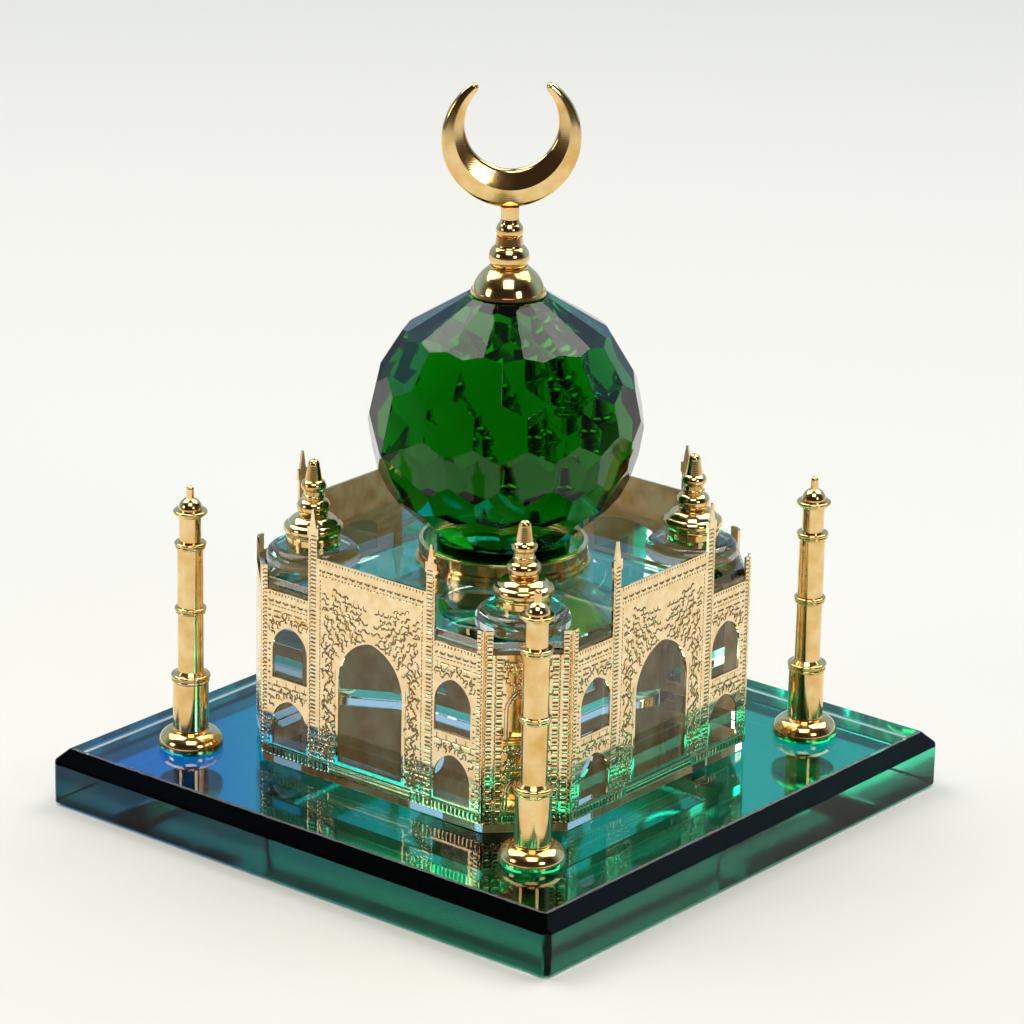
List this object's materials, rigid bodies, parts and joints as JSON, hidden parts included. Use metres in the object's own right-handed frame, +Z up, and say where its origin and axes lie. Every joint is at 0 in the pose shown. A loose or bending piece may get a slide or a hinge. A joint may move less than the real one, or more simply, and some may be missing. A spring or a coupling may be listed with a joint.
{
  "type": "miniature landmark model",
  "caption": "Souvenir model of a domed hall: glass body faced with etched gold sheets, faceted green crystal dome with a crescent, gold minarets, thick square glass plate.",
  "frame": {"origin": "middle of the underside of the base plate's mirror sheet", "axes": "+Z up, along the dome's axis; -Y towards the front facade, +X towards the right facade; the facades face +X, -X, +Y and -Y"},
  "size_m": [0.1, 0.1, 0.1166],
  "materials": {
    "teal_mirror": "silvered sheet with a teal tint",
    "teal_glass": "polished optical glass with a faint teal tint",
    "clear_glass": "polished clear optical glass",
    "etched_gold": "photo-etched brass sheet, gold plated and polished",
    "polished_gold": "turned brass, gold plated and polished",
    "green_crystal": "cut and polished emerald green crystal"
  },
  "bodies": {
    "root": {"base_mirror": "teal_mirror", "base_plate": "teal_glass", "glass_hall": "clear_glass", "facade_front": "etched_gold", "facade_right": "etched_gold", "facade_back": "etched_gold", "facade_left": "etched_gold", "corner_panel_front_right": "etched_gold", "corner_panel_back_right": "etched_gold", "corner_panel_back_left": "etched_gold", "corner_panel_front_left": "etched_gold", "corner_disc_front_right": "clear_glass", "corner_disc_back_right": "clear_glass", "corner_disc_back_left": "clear_glass", "corner_disc_front_left": "clear_glass", "corner_finial_front_right": "polished_gold", "corner_finial_back_right": "polished_gold", "corner_finial_back_left": "polished_gold", "corner_finial_front_left": "polished_gold", "minaret_front_right": "polished_gold", "minaret_back_right": "polished_gold", "minaret_back_left": "polished_gold", "minaret_front_left": "polished_gold", "dome_collar": "polished_gold", "crystal_dome": "green_crystal", "dome_finial": "polished_gold", "crescent": "polished_gold"}
  },
  "joints": []
}
